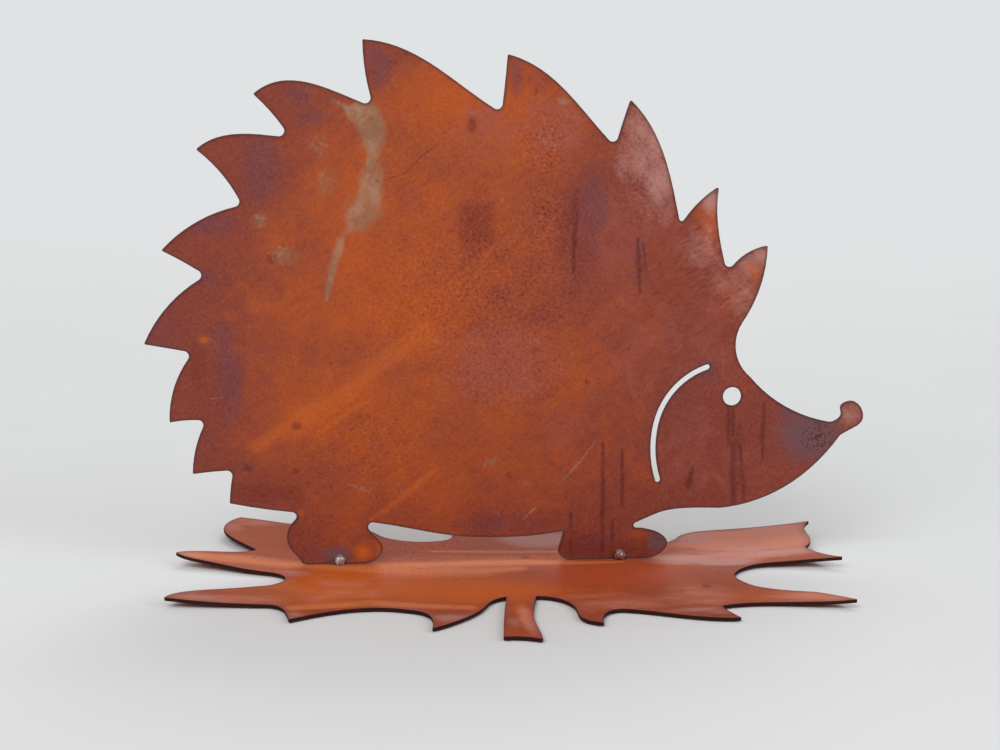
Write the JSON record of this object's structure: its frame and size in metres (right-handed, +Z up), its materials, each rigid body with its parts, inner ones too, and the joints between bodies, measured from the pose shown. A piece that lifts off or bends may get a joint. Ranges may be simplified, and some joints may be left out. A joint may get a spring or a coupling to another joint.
{
  "type": "hedgehog garden figurine",
  "caption": "Flat sheet-steel hedgehog silhouette, with curved quills, an eye hole and a cheek slot, standing upright on a maple-leaf foot sheet.",
  "frame": {"origin": "on the ground plane under the leaf, midway between the hedgehog's two feet, in the middle of the body plate's thickness", "axes": "+X towards the hedgehog's nose, +Y away from the stalk side of the leaf, +Z up"},
  "size_m": [0.1999, 0.1809, 0.1451],
  "materials": {
    "rusted_body": "rust patina with a thin clear seal, fine pitting",
    "rusted_leaf": "rust patina with a semi-gloss seal",
    "weld_metal": "dull grey bead with a dark heat tint"
  },
  "bodies": {
    "root": {"hedgehog_plate": "rusted_body", "leaf_base": "rusted_leaf", "rear_foot_weld": "weld_metal", "front_foot_weld": "weld_metal"}
  },
  "joints": []
}
